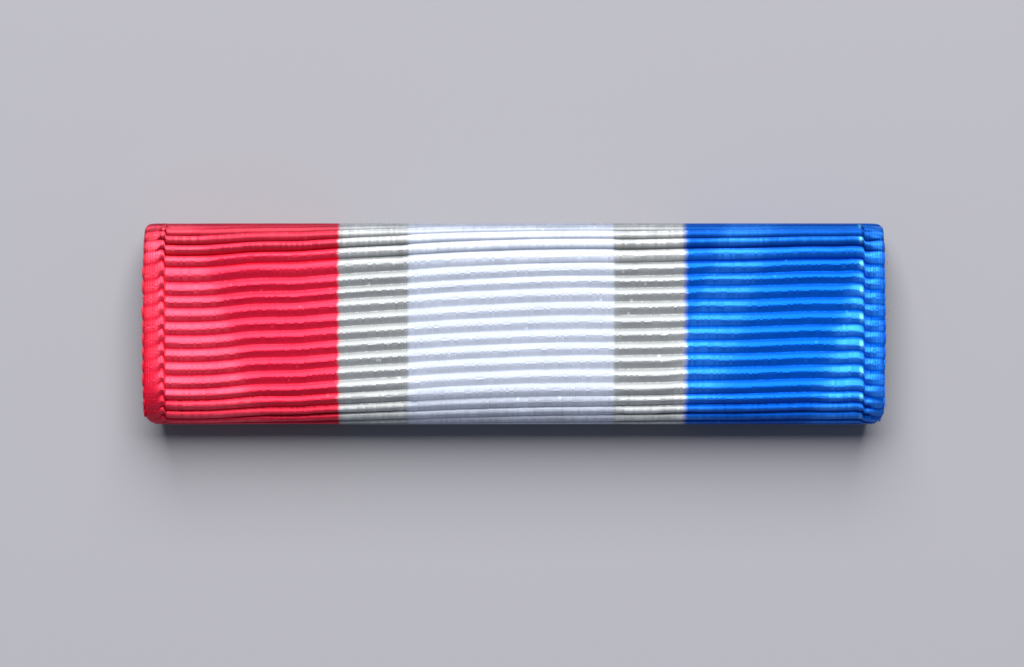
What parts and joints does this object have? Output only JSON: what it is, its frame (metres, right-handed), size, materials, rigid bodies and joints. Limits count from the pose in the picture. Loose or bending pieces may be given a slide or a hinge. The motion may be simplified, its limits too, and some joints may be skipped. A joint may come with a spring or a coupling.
{
  "type": "ribbon bar",
  "caption": "Service ribbon bar: a ribbed red, silver, white and blue ribbon wrapped round a thin brass holder whose open back channel slides on a mounting bar.",
  "frame": {"origin": "middle of the back, on the surface that the bar rests on", "axes": "+X along the bar to the wearer's left end, the viewer's right; +Y up as worn; +Z out of the front face"},
  "size_m": [0.035, 0.0096, 0.0033],
  "materials": {
    "ribbon": "ribbed silk-like weave in stripes of red, silver, white, silver and blue",
    "holder": "plain satin sheet metal"
  },
  "bodies": {
    "root": {"ribbon": "ribbon", "holder": "holder"}
  },
  "joints": []
}
